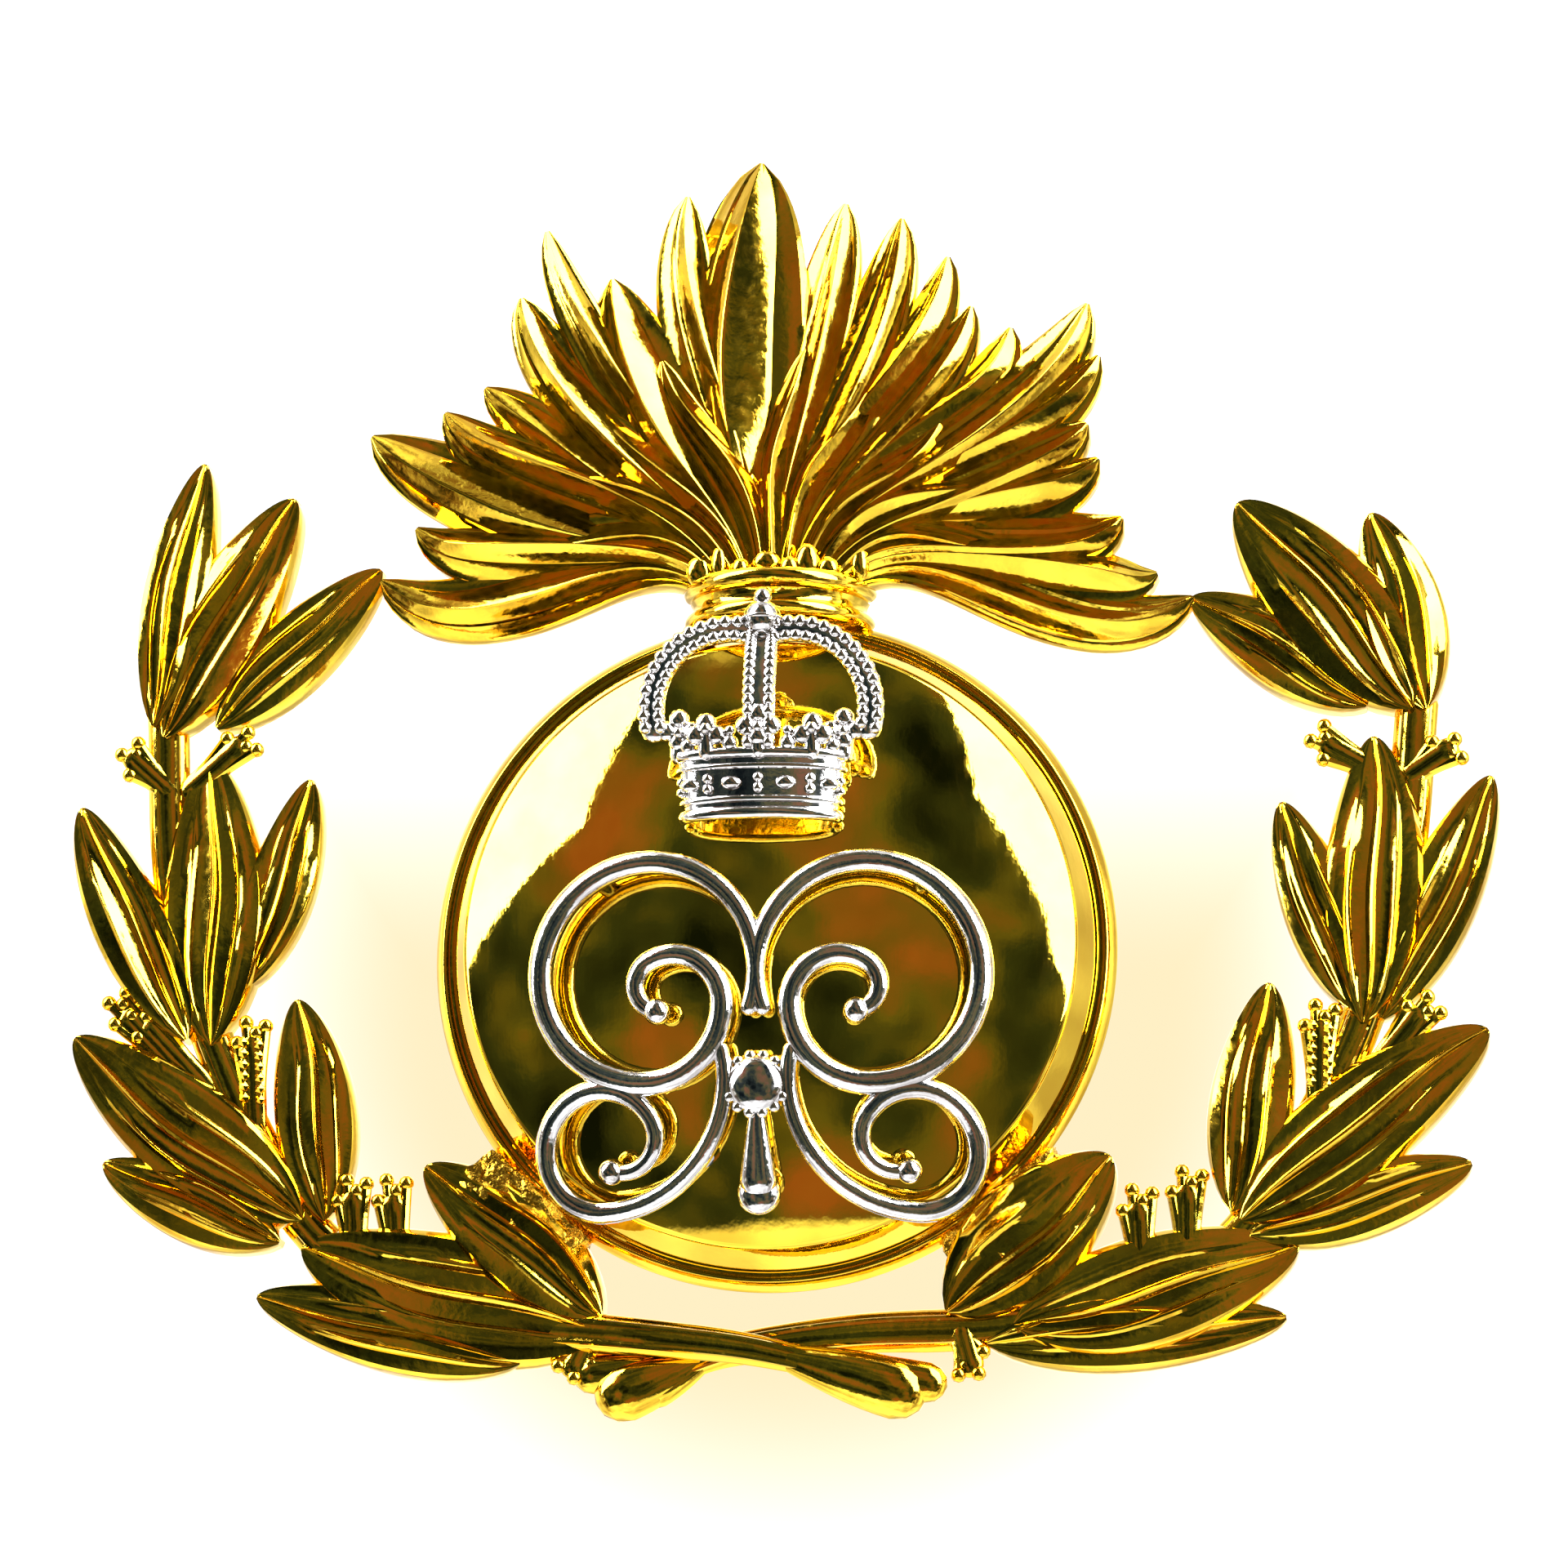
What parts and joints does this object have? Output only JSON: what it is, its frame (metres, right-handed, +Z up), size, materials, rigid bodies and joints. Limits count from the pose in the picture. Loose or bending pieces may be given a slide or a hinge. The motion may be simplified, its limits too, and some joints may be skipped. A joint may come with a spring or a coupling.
{
  "type": "cap badge",
  "caption": "Two-colour metal cap badge: flaming grenade in a laurel wreath, crown and scroll on the domed ball, lugs and a sliding split pin behind.",
  "frame": {"origin": "centre of the ball, on the back face of the backplate, where the badge rests against the cap", "axes": "+Z up the badge, +X to the right of a person who looks at its face, -Y out of the face, +Y out of the back along the lugs"},
  "size_m": [0.064, 0.0149, 0.0577],
  "materials": {
    "gilt": "mirror-polished gilding",
    "gilt_cast": "rough cast, gilded",
    "silver": "polished silver plate",
    "brass": "drawn wire, dull"
  },
  "bodies": {
    "badge": {"flame_plume": "gilt", "neck_collar": "gilt", "ball_dome": "gilt", "ball_backplate": "gilt", "laurel_left": "gilt", "laurel_right": "gilt", "tie_left": "gilt_cast", "tie_right": "gilt_cast", "crown": "silver", "crown_studs": "silver", "scroll_ornament": "silver", "scroll_studs": "silver", "stud_burrs": "brass", "lug_pads": "brass", "lug_left": "brass", "lug_right": "brass"},
    "pin": {"split_pin": "brass"}
  },
  "joints": [
    {"name": "split_pin_slide", "type": "slide", "parent": "badge", "child": "pin", "axis": [1, 0, 0], "range_m": [0, 0.04]}
  ]
}
